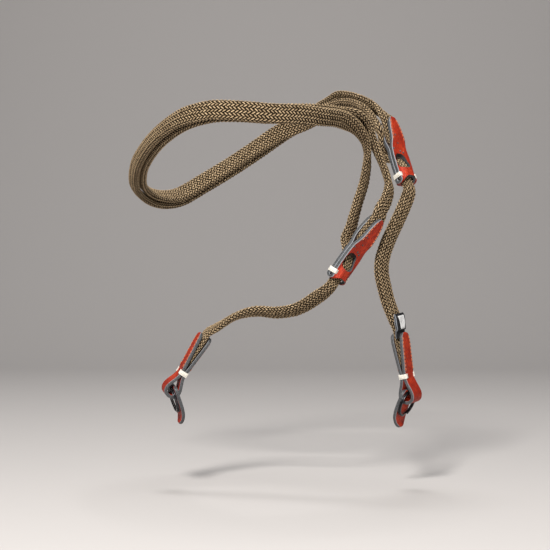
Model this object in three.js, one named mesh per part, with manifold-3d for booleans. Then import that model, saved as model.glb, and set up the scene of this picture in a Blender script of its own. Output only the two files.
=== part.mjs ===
// Camera neck strap made of two flat braided ropes, each with a leather slider and a leather end
// tab that carries a leather guard and a split ring. Millimetres, +Z up, -Y towards the viewer.
// The origin lies between the two split rings, about level with their centres.
import * as THREE from "three";
import { mergeVertices } from "three/addons/utils/BufferGeometryUtils.js";
import Module from "manifold-3d";

const wasm = await Module();
wasm.setup();

// Driving sizes
const ROPE_WIDTH = 12.6;
const ROPE_THICKNESS = 5;
const ROPE_SIDES = 10;
const OVAL_POWER = 0.62;
const ROPE_STEPS = 116;
const ROUTE_DIVISIONS = 2000;
const PAIR_SPACING = 5.5;
const LEATHER = 2.2;
const CLEAR = 0.3;
const THREAD = 0.6;

// The end tab: a leather strip folded into a teardrop round the ring, its legs sewn on the rope
const STRIP_COLUMNS = 2;
const TAB_STEPS = 40;
const TAB_WRAP_EDGE = 5.3;
const TAB_LEG_OFFSET = 1.3;
// across the tab (outer leg), up the tab
const TAB_LEG = [
  [3.6, 29],
  [3.35, 24],
  [2.6, 15],
  [1.75, 6],
  [1.3, 1.5],
  [1.3, -1.5],
  [2.3, -5.5],
  [3.9, -9.5],
  [4.7, -13],
  [3.6, -16.2],
  [0, -17.6],
];
// up the tab, half width of the strip
const TAB_PROFILE = [
  [29, 1.6],
  [28.2, 3.4],
  [26.5, 4.7],
  [22, 5.4],
  [4, 5.8],
  [0, 5.3],
  [-4, 5.7],
  [-18, 5.8],
];
// the thread wraps on tabs and sliders
const WRAP_HEIGHT = 3;
const WRAP_INSET = 1.5;
const WRAP_HOLE_DEPTH = 12;

// The slider: a folded leather strip, sewn round the end of one rope, that the other runs through
const SLIDER_LENGTH = 50;
const SLIDER_LEATHER = 2.6;
const SLIDER_SOLID_TOP = 26;
const SLIDER_COLUMNS = 8;
const SLIDER_ROWS = 20;
const SLIDER_WRAP = 5.2;
const SLIDER_WRAP_EDGE = 7.2;
const WINDOW = { low: 8.5, high: 20, half: 4.9, corner: 3.2, depth: 8 };
const NOTCH = { low: -6, high: 3.4, half: 4.9, corner: 3.2, depth: 8 };
const WEDGE_WIDTH = 40;
const DOME = { half: 5.4, from: 12, to: 24, flatWithin: 2.6, flatBeyond: 5.4 };
const FOLD = { radius: 1.6, edge: 0.45 };
// up the slider, half width
const SLIDER_PROFILE = [
  [0, 6.6],
  [2, 7.1],
  [5.2, 7.2],
  [12, 7.4],
  [20, 7.3],
  [26, 6.7],
  [34, 5.8],
  [41, 5.0],
  [46, 3.9],
  [49, 2.4],
  [50, 1.2],
];
// up the slider, half thickness where the rope's end is between its layers
const SLIDER_LEGS = [
  [26, 2.6],
  [28, 2.9],
  [30, 3.9],
  [33, 4.8],
  [38, 5],
  [50, 5],
];
// up the slider, half the room between its layers
const WEDGE_HALF = [
  [27, 0.25],
  [28, 0.5],
  [30, 1.5],
  [33, 2.3],
  [38, 2.5],
  [60, 2.6],
];

// The guard: a curved leather tongue behind the ring, threaded on the loop of the end tab.
const GUARD_STEPS = 16;
// out from the ring's middle plane, up from its centre
const GUARD_PATH = [
  [-2.4, 9.4],
  [-2.4, 4],
  [-2.7, -1],
  [-2.8, -7],
  [-2.4, -11],
  [-1.2, -14.8],
  [0.6, -17.6],
];
// up from the ring's centre, half width
const GUARD_PROFILE = [
  [9.4, 4.6],
  [8.6, 6.2],
  [7, 7.4],
  [4, 7.9],
  [-6, 7.9],
  [-11, 7.1],
  [-14.5, 5.5],
  [-16.6, 3.6],
  [-17.6, 1.8],
];

// The split ring: two flat turns side by side
const RING_OUTER = 9.5;
const RING_INNER = 8;
const RING_TURN = 0.85;
const RING_SLIT = 0.2;
const RING_GROOVE = 0.4;
const RING_SEGMENTS = 28;

// Places of the four leather fittings: origin, direction up the strap, direction of the red face
const LEFT_TAB = {
  at: [-72.6, 0, 19.2],
  up: [0.54, 0, 0.842],
  face: [-0.97, -0.24, 0],
};
const RIGHT_TAB = {
  at: [77.2, 0, 16.9],
  up: [-0.178, 0, 0.984],
  face: [0.82, -0.574, 0],
};
const LEFT_SLIDER = {
  at: [27.8, -24, 80.3],
  up: [0.575, 0.04, 0.818],
  face: [0.587, -0.707, -0.396],
};
const RIGHT_SLIDER = {
  at: [76.6, -9, 144.2],
  up: [-0.23, 0.4, 0.887],
  face: [0.6, -0.66, 0.453],
};

// Rings and guards, in the frame of their end tab: centre of the ring, its turn towards the viewer
// and the angle that it hangs at
const LEFT_RING = { tab: LEFT_TAB, out: -5, up: -18.3, turn: 4, angle: 49 };
const RIGHT_RING = { tab: RIGHT_TAB, out: -3.6, up: -18.3, turn: 0, angle: 31 };

// Rope rows. World rows: x, y, z, azimuth and tilt of the rope's outer face, in degrees.
// The pair of ropes round the neck shares one row list, from the near side to the far side.
const NECK = [
  [31, -40, 185, -60, -42],
  [17, -56, 184.8, -62, -28],
  [3, -67, 184.4, -66, -12],
  [-14, -76, 183.6, -76, -2],
  [-32, -79, 184.6, -92, 4],
  [-49, -75.5, 185, -104, 12],
  [-66, -63.5, 182, -120, 20],
  [-81.5, -42, 175, -135, 20],
  [-94.2, -14, 166, -150, 10],
  [-103, 15, 155.5, -160, -10],
  [-104.5, 41, 144.5, -170, -34],
  [-95.6, 61, 138.2, 160, -54],
  [-81, 78, 139.4, 122, -50],
  [-62, 88, 150.6, 104, -44],
  [-43, 91.5, 162.4, 94, -42],
  [-24.5, 89.5, 174.4, 88, -34],
  [-6, 83, 186.6, 82, -8],
  [13, 74, 195.5, 74, 34],
  [28.5, 55.5, 202.5, 66, 52],
];
const LEFT_LOWER_RUN = [
  [-48.7, 0, 49.5, -166, 52],
  [-37.3, -2, 56.2, 164, 68],
  [-23.3, -6, 59.9, 104, 65],
  [-9.4, -10, 59.2, 90, 60],
  [4.4, -16, 61.9, 110, 54],
  [18, -21, 70.3, 125, 37],
];
const LEFT_UPPER_RUN = [
  [39.2, -13, 114.6, 150, 14],
  [43.4, -10, 129.6, 158, 10],
  [48, -10, 144.7, 160, 4],
  [49.7, -13, 156.4, 164, 0],
  [49.4, -18, 167, -172, -8],
  [44, -28, 176.6, -140, -36],
];
const LEFT_END_RUN = [
  [36.8, 46, 208, 72, 58],
  [47.9, 33, 204.6, 60, 60],
  [57.8, 21, 197.2, 20, 45],
];
const RIGHT_END_RUN = [
  [58.2, -21.5, 126, 136, 22],
  [61.8, -19, 132.2, 144, 18],
  [64.2, -16, 141.1, 158, 8],
  [62.9, -15, 148.4, 178, 0],
  [59.6, -15, 157.6, 180, -6],
  [55.5, -17, 166.6, -170, -8],
  [52.1, -20, 174.2, -165, -20],
  [47.8, -25, 182.2, -150, -42],
  [41, -32, 187.3, -130, -50],
];
const RIGHT_UPPER_RUN = [
  [40.5, 38, 201.8, 70, 58],
  [51.2, 24, 195.8, 35, 50],
  [57, 15, 186.9, 5, 25],
  [60.6, 9, 178.9, -10, 15],
];
const RIGHT_LOWER_RUN = [
  [74.6, -12, 129.8, -38, 5],
  [69.8, -12, 118.9, -42, 0],
  [64.4, -10, 107.1, -46, 0],
  [60.6, -7, 95.3, -48, 0],
  [60, -5, 86, -46, 0],
  [62, -3, 76, -44, 0],
  [65, -1, 65.3, -40, 0],
  [69, 0, 55, -36, 0],
];

// Rows inside a fitting: y and z in the fitting's own frame, width and thickness of the rope there
const INTO_TAB = [
  [0, 6, 10.2, 0.7],
  [0, 15, 10.8, 2.3],
  [0, 24, 11.2, 3.5],
  [0, 31, 11.4, 4.1],
];
const INTO_SLIDER = [
  [0, 30.5, 10.4, 1.9],
  [0, 34, 11, 3.6],
  [0, 40, 11.6, 4.3],
  [0, 51, 12, 4.5],
];
const THROUGH_SLIDER = [
  [0.3, -5, 9.6, 4.8],
  [0.2, 1, 8.6, 4.8],
  [0.3, 7, 8.4, 4.8],
  [0.5, 12, 8.6, 4.8],
  [-1.6, 17, 9.2, 4.8],
  [-6, 22, 10.2, 4.9],
  [-11.5, 27, 11.4, 5],
];

// The label: a folded ribbon held under the tip of the right tab's outer leg
const LABEL = { low: 29.6, high: 41, width: 12.5, side: 2.6, thickness: 1, out: 4.1 };
const PATCH = { low: 32, high: 40, width: 6.4, side: 1.6, thickness: 0.4 };

const RED = "#a3281a";
const KHAKI = "#7d6a45";
const STEEL = "#16171a";
const THREAD_WHITE = "#e9e2d4";
const LABEL_BLACK = "#17191c";
const LABEL_WHITE = "#dcdcdc";

const leather = () => new THREE.MeshStandardMaterial({ color: RED, roughness: 0.6, metalness: 0 });
const braid = () => new THREE.MeshStandardMaterial({ color: KHAKI, roughness: 0.85, metalness: 0 });
const steel = () => new THREE.MeshStandardMaterial({ color: STEEL, roughness: 0.3, metalness: 0.9 });
const plain = (color) => new THREE.MeshStandardMaterial({ color, roughness: 0.8, metalness: 0 });

function toSolid(geometry) {
  const bare = geometry.clone();
  bare.deleteAttribute("normal");
  bare.deleteAttribute("uv");
  const merged = mergeVertices(bare, 1e-4);
  const mesh = new wasm.Mesh({
    numProp: 3,
    vertProperties: new Float32Array(merged.attributes.position.array),
    triVerts: new Uint32Array(merged.index.array),
  });
  return new wasm.Manifold(mesh);
}

function fromSolid(solid) {
  const mesh = solid.getMesh();
  const geometry = new THREE.BufferGeometry();
  geometry.setAttribute("position", new THREE.BufferAttribute(mesh.vertProperties, 3));
  geometry.setIndex(new THREE.BufferAttribute(mesh.triVerts, 1));
  return geometry;
}

function piece(name, geometry, material, frame = new THREE.Matrix4()) {
  const mesh = new THREE.Mesh(geometry, material);
  mesh.name = name;
  mesh.applyMatrix4(frame);
  return mesh;
}

// A fitting's own frame: x across the strip, y the way its red face looks, z up the strap
function fittingFrame({ at, up, face }) {
  const z = new THREE.Vector3(...up).normalize();
  const y = new THREE.Vector3(...face).addScaledVector(z, -z.dot(new THREE.Vector3(...face))).normalize();
  const x = y.clone().cross(z);
  return new THREE.Matrix4().makeBasis(x, y, z).setPosition(...at);
}

// A ring's own frame: y along its axis, z up, turned about the tab's z axis and then its own x axis
function ringFrame({ tab, out, up, turn, angle }) {
  const hang = new THREE.Matrix4().makeRotationX(THREE.MathUtils.degToRad(-angle));
  const yaw = new THREE.Matrix4().makeRotationZ(THREE.MathUtils.degToRad(turn));
  return fittingFrame(tab).multiply(yaw.setPosition(0, out, up)).multiply(hang);
}

// Value of a table of [place, value] rows at a place, on straight lines between the rows
function along(table, place) {
  const rising = table[0][0] < table[table.length - 1][0] ? table : [...table].reverse();
  const after = rising.findIndex((row) => row[0] >= place);
  if (after === 0) return rising[0][1];
  if (after < 0) return rising[rising.length - 1][1];
  const [a, b] = [rising[after - 1], rising[after]];
  return a[1] + ((b[1] - a[1]) * (place - a[0])) / (b[0] - a[0]);
}

// Routes of the ropes
function direction(azimuth, tilt) {
  const a = THREE.MathUtils.degToRad(azimuth);
  const t = THREE.MathUtils.degToRad(tilt);
  return new THREE.Vector3(Math.cos(t) * Math.cos(a), Math.cos(t) * Math.sin(a), Math.sin(t));
}

function worldRows(rows, shift = 0) {
  const places = rows.map(([x, y, z]) => new THREE.Vector3(x, y, z));
  return rows.map(([, , , azimuth, tilt], i) => {
    const before = places[Math.max(i - 1, 0)];
    const after = places[Math.min(i + 1, places.length - 1)];
    const tangent = after.clone().sub(before).normalize();
    const face = direction(azimuth, tilt);
    face.addScaledVector(tangent, -face.dot(tangent)).normalize();
    const at = places[i].clone().addScaledVector(face, shift);
    return { at, face, width: ROPE_WIDTH, thickness: ROPE_THICKNESS };
  });
}

function fittingRows(rows, fitting, side) {
  const frame = fittingFrame(fitting);
  const face = new THREE.Vector3(0, side, 0).transformDirection(frame);
  return rows.map(([y, z, width, thickness]) => {
    const at = new THREE.Vector3(0, y, z).applyMatrix4(frame);
    return { at, face, width, thickness };
  });
}

const LEFT_ROUTE = [
  ...fittingRows(INTO_TAB, LEFT_TAB, 1),
  ...worldRows(LEFT_LOWER_RUN),
  ...fittingRows(THROUGH_SLIDER, LEFT_SLIDER, -1),
  ...worldRows(LEFT_UPPER_RUN),
  ...worldRows(NECK, PAIR_SPACING / 2),
  ...worldRows(LEFT_END_RUN),
  ...fittingRows(INTO_SLIDER, RIGHT_SLIDER, 1).reverse(),
];
const RIGHT_ROUTE = [
  ...fittingRows(INTO_TAB, RIGHT_TAB, 1),
  ...worldRows(RIGHT_LOWER_RUN).reverse(),
  ...fittingRows(THROUGH_SLIDER, RIGHT_SLIDER, 1),
  ...worldRows(RIGHT_UPPER_RUN).reverse(),
  ...worldRows(NECK, -PAIR_SPACING / 2).reverse(),
  ...worldRows(RIGHT_END_RUN).reverse(),
  ...fittingRows(INTO_SLIDER, LEFT_SLIDER, -1).reverse(),
];

// Frames along a route at equal steps of its length: place, across, out, width and thickness
function routeFrames(rows, steps) {
  const path = new THREE.CatmullRomCurve3(rows.map((row) => row.at), false, "centripetal");
  path.arcLengthDivisions = ROUTE_DIVISIONS;
  const faces = new THREE.CatmullRomCurve3(rows.map((row) => row.face), false, "catmullrom");
  const sizes = new THREE.CatmullRomCurve3(
    rows.map((row) => new THREE.Vector3(row.width, row.thickness, 0)),
    false,
    "catmullrom",
  );
  const frames = [];
  for (let i = 0; i <= steps; i++) {
    const t = path.getUtoTmapping(i / steps);
    const tangent = path.getTangent(t);
    const out = faces.getPoint(t);
    out.addScaledVector(tangent, -out.dot(tangent)).normalize();
    const across = out.clone().cross(tangent);
    const size = sizes.getPoint(t);
    frames.push({ at: path.getPoint(t), across, out, width: size.x, thickness: size.y });
  }
  return frames;
}

// Flat oval section of a rope, one unit wide and one unit thick
function ovalSection() {
  const corner = (value) => 0.5 * Math.sign(value) * Math.abs(value) ** OVAL_POWER;
  const points = [];
  for (let i = 0; i < ROPE_SIDES; i++) {
    const angle = ((i + 0.5) / ROPE_SIDES) * 2 * Math.PI;
    points.push(new THREE.Vector2(corner(Math.cos(angle)), corner(Math.sin(angle))));
  }
  return new THREE.Shape(points);
}

// A rope, or with grow above zero the room that it needs
function ropeGeometry(rows, grow = 0) {
  const frames = routeFrames(rows, ROPE_STEPS);
  const geometry = new THREE.ExtrudeGeometry(ovalSection(), {
    depth: 1,
    steps: ROPE_STEPS,
    bevelEnabled: false,
  });
  const place = geometry.attributes.position;
  for (let i = 0; i < place.count; i++) {
    const frame = frames[Math.round(place.getZ(i) * ROPE_STEPS)];
    const point = frame.at
      .clone()
      .addScaledVector(frame.across, place.getX(i) * (frame.width + 2 * grow))
      .addScaledVector(frame.out, place.getY(i) * (frame.thickness + 2 * grow));
    place.setXYZ(i, point.x, point.y, point.z);
  }
  return geometry;
}

// A leather strip bent along a path of [y, z] points, its half width set by its height
function stripGeometry(points, profile, steps, grow = 0) {
  const path = new THREE.CatmullRomCurve3(
    points.map(([y, z]) => new THREE.Vector3(0, y, z)),
    false,
    "centripetal",
  );
  const geometry = new THREE.BoxGeometry(1, 1, 1, STRIP_COLUMNS, 1, steps);
  const place = geometry.attributes.position;
  for (let i = 0; i < place.count; i++) {
    const u = THREE.MathUtils.clamp(place.getZ(i) + 0.5, 0, 1);
    const centre = path.getPointAt(u);
    const tangent = path.getTangentAt(u);
    const out = new THREE.Vector3(0, tangent.z, -tangent.y);
    const halfWidth = along(profile, centre.z) + grow;
    centre.addScaledVector(out, place.getY(i) * (LEATHER + 2 * grow));
    place.setXYZ(i, place.getX(i) * 2 * halfWidth, centre.y, centre.z);
  }
  return geometry;
}

function boxSolid(low, high) {
  const size = high.map((value, i) => value - low[i]);
  const middle = high.map((value, i) => (value + low[i]) / 2);
  return toSolid(new THREE.BoxGeometry(...size).translate(...middle));
}

// Thread wrap: a flat ring of thread round one edge of the leather, closed through a hole in it
function wrapGeometry(half, edge, centre) {
  const inner = edge - WRAP_INSET;
  const far = half + CLEAR + THREAD;
  const outline = new THREE.Shape();
  outline.moveTo(inner - THREAD, -far);
  outline.lineTo(edge + CLEAR, -far);
  outline.lineTo(edge + CLEAR + THREAD, -far + THREAD);
  outline.lineTo(edge + CLEAR + THREAD, far - THREAD);
  outline.lineTo(edge + CLEAR, far);
  outline.lineTo(inner - THREAD, far);
  const hole = new THREE.Path();
  hole.moveTo(inner, -half - CLEAR);
  hole.lineTo(inner, half + CLEAR);
  hole.lineTo(edge + CLEAR, half + CLEAR);
  hole.lineTo(edge + CLEAR, -half - CLEAR);
  outline.holes.push(hole);
  const geometry = new THREE.ExtrudeGeometry(outline, { depth: WRAP_HEIGHT, bevelEnabled: false });
  return geometry.translate(0, 0, centre - WRAP_HEIGHT / 2);
}

function wrapHole(edge, side, centre) {
  const inner = edge - WRAP_INSET;
  const xs = [side * (inner - THREAD - CLEAR), side * (inner + CLEAR)].sort((a, b) => a - b);
  const halfHeight = WRAP_HEIGHT / 2 + CLEAR;
  const depth = WRAP_HOLE_DEPTH;
  return boxSolid([xs[0], -depth, centre - halfHeight], [xs[1], depth, centre + halfHeight]);
}

function wrapPair(name, half, edge, centre, frame) {
  const across = new THREE.Vector3(1, 0, 0).transformDirection(frame);
  return [-1, 1].map((side) => {
    const geometry = wrapGeometry(half, edge, centre);
    if (side < 0) geometry.rotateZ(Math.PI);
    const label = side * across.y < 0 ? "near" : "far";
    return piece(`${name}_${label}`, geometry, plain(THREAD_WHITE), frame);
  });
}

// End tab: strip folded into a teardrop, with holes for the thread wraps
const TAB_PATH = [...TAB_LEG, ...TAB_LEG.slice(0, -1).reverse().map(([y, z]) => [-y, z])];
const TAB_WRAP_HALF = TAB_LEG_OFFSET + LEATHER / 2;

function tabStrip(grow = 0) {
  return stripGeometry(TAB_PATH, TAB_PROFILE, TAB_STEPS, grow);
}

function endTab(side, fitting, ropeRoom) {
  const frame = fittingFrame(fitting);
  let solid = toSolid(tabStrip());
  for (const edge of [-1, 1]) solid = solid.subtract(wrapHole(TAB_WRAP_EDGE, edge, 0));
  solid = solid.subtract(toSolid(ropeRoom.clone().applyMatrix4(frame.clone().invert())));
  return [
    piece(`end_tab_${side}`, fromSolid(solid), leather(), frame),
    ...wrapPair(`tab_wrap_${side}`, TAB_WRAP_HALF, TAB_WRAP_EDGE, 0, frame),
  ];
}

// Slider: two layers of leather in one solid, domed over the rope that runs through
function sliderHalfThickness(x, z) {
  if (z >= SLIDER_SOLID_TOP) return along(SLIDER_LEGS, z);
  const reach = 1 - Math.min(z, FOLD.radius) / FOLD.radius;
  const fold = FOLD.edge + (1 - FOLD.edge) * Math.sqrt(1 - reach ** 2);
  const up = 1 - THREE.MathUtils.smoothstep(z, DOME.from, DOME.to);
  const across = 1 - THREE.MathUtils.smoothstep(Math.abs(x), DOME.flatWithin, DOME.flatBeyond);
  return fold * (SLIDER_LEATHER + (DOME.half - SLIDER_LEATHER) * up * across);
}

function sliderBody() {
  const geometry = new THREE.BoxGeometry(1, 1, 1, SLIDER_COLUMNS, 1, SLIDER_ROWS);
  const place = geometry.attributes.position;
  for (let i = 0; i < place.count; i++) {
    const z = (place.getZ(i) + 0.5) * SLIDER_LENGTH;
    const x = place.getX(i) * 2 * along(SLIDER_PROFILE, z);
    place.setXYZ(i, x, place.getY(i) * 2 * sliderHalfThickness(x, z), z);
  }
  return toSolid(geometry);
}

// Room between the two legs of a slider for the rope end that is sewn there
function sliderWedge() {
  const right = WEDGE_HALF.map(([z, half]) => new THREE.Vector2(half, z));
  const left = WEDGE_HALF.map(([z, half]) => new THREE.Vector2(-half, z)).reverse();
  const outline = new THREE.Shape([...right, ...left]);
  const geometry = new THREE.ExtrudeGeometry(outline, { depth: WEDGE_WIDTH, bevelEnabled: false });
  geometry.translate(0, 0, -WEDGE_WIDTH / 2);
  const turn = new THREE.Matrix4().makeBasis(
    new THREE.Vector3(0, 1, 0),
    new THREE.Vector3(0, 0, 1),
    new THREE.Vector3(1, 0, 0),
  );
  return toSolid(geometry.applyMatrix4(turn));
}

// Opening with cut corners through the front layer: the window, and the notch at the fold
function frontOpening({ low, high, half, corner, depth }) {
  const outline = new THREE.Shape();
  outline.moveTo(-half, low + corner);
  outline.lineTo(-half + corner, low);
  outline.lineTo(half - corner, low);
  outline.lineTo(half, low + corner);
  outline.lineTo(half, high - corner);
  outline.lineTo(half - corner, high);
  outline.lineTo(-half + corner, high);
  outline.lineTo(-half, high - corner);
  const geometry = new THREE.ExtrudeGeometry(outline, { depth, bevelEnabled: false });
  geometry.rotateX(Math.PI / 2);
  geometry.translate(0, depth, 0);
  return toSolid(geometry);
}

function slider(side, fitting, rooms) {
  const frame = fittingFrame(fitting);
  const local = frame.clone().invert();
  let solid = sliderBody().subtract(sliderWedge());
  for (const opening of [WINDOW, NOTCH]) solid = solid.subtract(frontOpening(opening));
  for (const edge of [-1, 1]) solid = solid.subtract(wrapHole(SLIDER_WRAP_EDGE, edge, SLIDER_WRAP));
  for (const room of rooms) solid = solid.subtract(toSolid(room.clone().applyMatrix4(local)));
  const wrapHalf = sliderHalfThickness(SLIDER_WRAP_EDGE - WRAP_INSET - THREAD, SLIDER_WRAP);
  return [
    piece(`slider_${side}`, fromSolid(solid), leather(), frame),
    ...wrapPair(`slider_wrap_${side}`, wrapHalf, SLIDER_WRAP_EDGE, SLIDER_WRAP, frame),
  ];
}

// Split ring: two flat turns with a shallow groove between them
function splitRing(side, ring) {
  const half = RING_TURN + RING_SLIT / 2;
  const groove = RING_SLIT / 2;
  const profile = [
    [RING_INNER, -half],
    [RING_OUTER, -half],
    [RING_OUTER, -groove],
    [RING_OUTER - RING_GROOVE, -groove],
    [RING_OUTER - RING_GROOVE, groove],
    [RING_OUTER, groove],
    [RING_OUTER, half],
    [RING_INNER, half],
    [RING_INNER, -half],
  ].map(([r, y]) => new THREE.Vector2(r, y));
  const geometry = new THREE.LatheGeometry(profile, RING_SEGMENTS);
  return piece(`split_ring_${side}`, geometry, steel(), ringFrame(ring));
}

// Guard: tongue of leather with the slot that the end tab's loop passes through
function ringGuard(side, ring) {
  const frame = ringFrame(ring);
  const toGuard = frame.clone().invert().multiply(fittingFrame(ring.tab));
  const solid = toSolid(stripGeometry(GUARD_PATH, GUARD_PROFILE, GUARD_STEPS));
  const cut = solid.subtract(toSolid(tabStrip(CLEAR).applyMatrix4(toGuard)));
  return piece(`ring_guard_${side}`, fromSolid(cut), leather(), frame);
}

// Label: a plain folded ribbon with a blank patch
function labelPieces() {
  const frame = fittingFrame(RIGHT_TAB);
  const ribbon = new THREE.BoxGeometry(LABEL.width, LABEL.thickness, LABEL.high - LABEL.low);
  ribbon.translate(LABEL.side, LABEL.out, (LABEL.high + LABEL.low) / 2);
  const patch = new THREE.BoxGeometry(PATCH.width, PATCH.thickness, PATCH.high - PATCH.low);
  const patchOut = LABEL.out + (LABEL.thickness + PATCH.thickness) / 2 + CLEAR / 3;
  patch.translate(PATCH.side, patchOut, (PATCH.high + PATCH.low) / 2);
  return [
    piece("label_ribbon", ribbon, plain(LABEL_BLACK), frame),
    piece("label_patch", patch, plain(LABEL_WHITE), frame),
  ];
}

const strap = new THREE.Group();
const leftRoom = ropeGeometry(LEFT_ROUTE, CLEAR);
const rightRoom = ropeGeometry(RIGHT_ROUTE, CLEAR);
strap.add(piece("rope_left", ropeGeometry(LEFT_ROUTE), braid()));
strap.add(piece("rope_right", ropeGeometry(RIGHT_ROUTE), braid()));
strap.add(...endTab("left", LEFT_TAB, leftRoom), ...endTab("right", RIGHT_TAB, rightRoom));
strap.add(...slider("left", LEFT_SLIDER, [leftRoom, rightRoom]));
strap.add(...slider("right", RIGHT_SLIDER, [leftRoom, rightRoom]));
strap.add(splitRing("left", LEFT_RING), splitRing("right", RIGHT_RING));
strap.add(ringGuard("left", LEFT_RING), ringGuard("right", RIGHT_RING));
strap.add(...labelPieces());

export default strap;
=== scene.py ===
"""Camera neck strap: braided ropes, leather sliders and end tabs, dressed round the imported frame.

Sizes are in millimetres in this file and become metres where a mesh is made.
"""

import math

import bmesh
import bpy
import numpy as np
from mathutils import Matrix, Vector


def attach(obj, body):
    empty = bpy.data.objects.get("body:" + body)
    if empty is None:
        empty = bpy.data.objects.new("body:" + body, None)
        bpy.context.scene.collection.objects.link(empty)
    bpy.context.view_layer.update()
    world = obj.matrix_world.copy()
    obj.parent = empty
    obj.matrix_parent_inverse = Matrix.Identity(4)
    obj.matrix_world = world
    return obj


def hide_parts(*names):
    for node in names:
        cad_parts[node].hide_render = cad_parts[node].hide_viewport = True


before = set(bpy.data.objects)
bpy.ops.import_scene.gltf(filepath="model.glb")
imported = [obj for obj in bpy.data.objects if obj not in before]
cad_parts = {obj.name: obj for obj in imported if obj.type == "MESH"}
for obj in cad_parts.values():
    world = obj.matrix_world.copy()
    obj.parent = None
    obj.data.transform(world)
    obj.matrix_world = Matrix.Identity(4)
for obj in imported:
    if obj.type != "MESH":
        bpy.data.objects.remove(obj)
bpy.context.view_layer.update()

METRES = 0.001
FOCAL_PIXELS, FRAME_PIXELS, SENSOR_WIDTH = 1525, 550, 36
CAMERA_AT = (-0.0107, -1.017, 0.084)
FLOOR = -0.059
RANDOM_SEED = 11
CURVE_DIVISIONS = 4001
ROUTE_POINTS = 3200
BENT_POINTS = 1200
OVAL_DIVISIONS = 2001
OVAL_POINTS = 721

# Sizes and places
# Those of the part's source, unless a comment says otherwise
ROPE_WIDTH = 12.6
ROPE_THICKNESS = 5.0
PAIR_SPACING = 5.5
LEATHER = 2.2
OVAL_POWER = 0.62

TAB_LEG = [
    (3.6, 29), (3.35, 24), (2.6, 15), (1.75, 6), (1.3, 1.5), (1.3, -1.5),
    (2.3, -5.5), (3.9, -9.5), (4.7, -13), (3.6, -16.2), (0, -17.6),
]
TAB_PATH = TAB_LEG + [(-y, z) for y, z in reversed(TAB_LEG[:-1])]
TAB_PROFILE = [(29, 1.6), (28.2, 3.4), (26.5, 4.7), (22, 5.4), (4, 5.8), (0, 5.3), (-4, 5.7), (-18, 5.8)]
TAB_WRAP_EDGE = 5.3
TAB_WRAP_HALF = 2.4

SLIDER_LENGTH = 50
SLIDER_PROFILE = [
    (0, 6.6), (2, 7.1), (5.2, 7.2), (12, 7.4), (20, 7.3), (26, 6.7), (34, 5.8), (41, 5.0), (46, 3.9),
    (49, 2.4), (50, 1.2),
]
SLIDER_LEATHER = 2.6
SLIDER_LEGS = [(26, 2.6), (28, 2.9), (30, 3.9), (33, 4.8), (38, 5), (50, 5)]
SLIDER_WRAP_AT = 5.2
SLIDER_WRAP_EDGE = 7.2
# The openings and the dome are drawn a little differently here than in the solids
WINDOW = dict(low=9.5, high=21.6, half=4.9, corner=4.2, side=1.5)
NOTCH = dict(low=-6, high=3.4, half=5.0, corner=3.4, side=0)
DOME_HALF, DOME_FROM, DOME_TO, DOME_FLAT, DOME_FOOT = 5.4, 9, 19, 2.6, 6.2
WRAP_INSET = dict(near=1.5, far=0.35)
WRAP_TURNS = dict(near=(5, 0.36), far=(8, 0.22))

GUARD_PATH = [(-2.4, 9.4), (-2.4, 4), (-2.7, -1), (-2.8, -7), (-2.4, -11), (-1.2, -14.8), (0.6, -17.6)]
GUARD_PROFILE = [
    (9.4, 4.6), (8.6, 6.2), (7, 7.4), (4, 7.9), (-6, 7.9), (-11, 7.1), (-14.5, 5.5), (-16.6, 3.6),
    (-17.6, 1.8),
]

RING_OUTER, RING_INNER, RING_TURN, RING_SLIT = 9.5, 8.0, 0.85, 0.2
RING_END_GAP, RING_JOG, RING_CORNER, RING_STATIONS = 0.42, 0.34, 0.22, 190

LEFT_TAB = dict(at=(-72.6, 0, 19.2), up=(0.54, 0, 0.842), face=(-0.97, -0.24, 0))
RIGHT_TAB = dict(at=(77.2, 0, 16.9), up=(-0.178, 0, 0.984), face=(0.82, -0.574, 0))
LEFT_SLIDER = dict(at=(27.8, -24, 80.3), up=(0.575, 0.04, 0.818), face=(0.587, -0.707, -0.396))
RIGHT_SLIDER = dict(at=(76.6, -9, 144.2), up=(-0.23, 0.4, 0.887), face=(0.6, -0.66, 0.453))
LEFT_RING = dict(tab=LEFT_TAB, out=-5, up=-18.3, turn=4, angle=49)
RIGHT_RING = dict(tab=RIGHT_TAB, out=-3.6, up=-18.3, turn=0, angle=31)

# World rows of the ropes: x, y, z, azimuth and tilt of the outer face in degrees
NECK = [
    (31, -40, 185, -60, -42), (17, -56, 184.8, -62, -28), (3, -67, 184.4, -66, -12),
    (-14, -76, 183.6, -76, -2), (-32, -79, 184.6, -92, 4), (-49, -75.5, 185, -104, 12),
    (-66, -63.5, 182, -120, 20), (-81.5, -42, 175, -135, 20), (-94.2, -14, 166, -150, 10),
    (-103, 15, 155.5, -160, -10), (-104.5, 41, 144.5, -170, -34), (-95.6, 61, 138.2, 160, -54),
    (-81, 78, 139.4, 122, -50), (-62, 88, 150.6, 104, -44), (-43, 91.5, 162.4, 94, -42),
    (-24.5, 89.5, 174.4, 88, -34), (-6, 83, 186.6, 82, -8), (13, 74, 195.5, 74, 34),
    (28.5, 55.5, 202.5, 66, 52),
]
LEFT_LOWER_RUN = [
    (-48.7, 0, 49.5, -166, 52), (-37.3, -2, 56.2, 164, 68), (-23.3, -6, 59.9, 104, 65),
    (-9.4, -10, 59.2, 90, 60), (4.4, -16, 61.9, 110, 54), (18, -21, 70.3, 125, 37),
]
LEFT_UPPER_RUN = [
    (39.2, -13, 114.6, 150, 14), (43.4, -10, 129.6, 158, 10), (48, -10, 144.7, 160, 4),
    (49.7, -13, 156.4, 164, 0), (49.4, -18, 167, -172, -8), (44, -28, 176.6, -140, -36),
]
LEFT_END_RUN = [(36.8, 46, 208, 72, 58), (47.9, 33, 204.6, 60, 60), (57.8, 21, 197.2, 20, 45)]
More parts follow.
